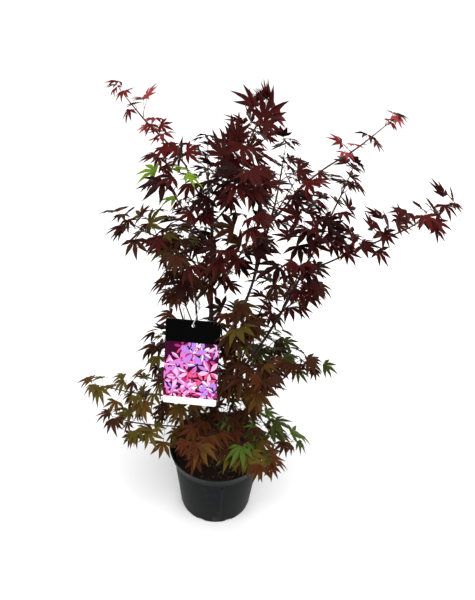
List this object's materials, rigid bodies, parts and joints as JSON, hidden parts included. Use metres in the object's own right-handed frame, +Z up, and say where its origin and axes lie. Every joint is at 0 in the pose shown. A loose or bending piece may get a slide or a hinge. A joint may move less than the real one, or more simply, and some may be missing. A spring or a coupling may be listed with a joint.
{
  "type": "potted japanese maple",
  "caption": "Young Japanese maple with upright stems and open, pointed-leaf foliage, rooted in a round nursery pot, with a card label tied to a stem.",
  "frame": {"origin": "middle of the pot's flat underside", "axes": "+Z up the plant, -Y towards the side that the label faces, +X to the right of someone who reads the label"},
  "size_m": [0.6073, 0.3338, 0.8617],
  "materials": {
    "pot_plastic": "satin black blown plastic",
    "compost": "dark damp compost with bark chips",
    "maple_bark": "smooth dark purple-brown young bark",
    "maple_leaf": "satin dark red leaf",
    "label_card": "printed plastic card, satin",
    "tie_string": "white string"
  },
  "bodies": {
    "root": {"pot": "pot_plastic", "soil": "compost", "trunk": "maple_bark", "stem_right": "maple_bark", "stem_low_right": "maple_bark", "stem_left": "maple_bark", "bough_spire": "maple_bark", "bough_arch": "maple_bark", "bough_front_top": "maple_bark", "bough_back_top": "maple_bark", "bough_upper_left": "maple_bark", "bough_left": "maple_bark", "bough_front_upper": "maple_bark", "bough_upper_right": "maple_bark", "bough_back_upper_right": "maple_bark", "bough_fork_up": "maple_bark", "bough_fork_out": "maple_bark", "bough_front_upper_right": "maple_bark", "bough_right": "maple_bark", "bough_back_right": "maple_bark", "bough_low_right": "maple_bark", "bough_front_right": "maple_bark", "bough_mid_left": "maple_bark", "bough_low_left": "maple_bark", "bough_back_low_right": "maple_bark", "bough_back_low_left": "maple_bark", "leaves_spire": "maple_leaf", "leaves_arch": "maple_leaf", "leaves_front_top": "maple_leaf", "leaves_back_top": "maple_leaf", "leaves_upper_left": "maple_leaf", "leaves_left": "maple_leaf", "leaves_front_upper": "maple_leaf", "leaves_stem_left_top": "maple_leaf", "leaves_stem_right_top": "maple_leaf", "leaves_upper_right": "maple_leaf", "leaves_back_upper_right": "maple_leaf", "leaves_fork_middle": "maple_leaf", "leaves_fork_up": "maple_leaf", "leaves_fork_out": "maple_leaf", "leaves_front_upper_right": "maple_leaf", "leaves_right": "maple_leaf", "leaves_back_right": "maple_leaf", "leaves_low_right": "maple_leaf", "leaves_front_right": "maple_leaf", "leaves_front_middle": "maple_leaf", "leaves_mid_left": "maple_leaf", "leaves_back_left": "maple_leaf", "leaves_back_upper_left": "maple_leaf", "leaves_low_left": "maple_leaf", "leaves_low_left_front": "maple_leaf", "leaves_front_low": "maple_leaf", "leaves_front_right_low": "maple_leaf", "leaves_right_low": "maple_leaf", "leaves_back_low": "maple_leaf", "leaves_back_low_left": "maple_leaf", "leaves_back_low_right": "maple_leaf", "label": "label_card", "label_tie": "tie_string"}
  },
  "joints": []
}
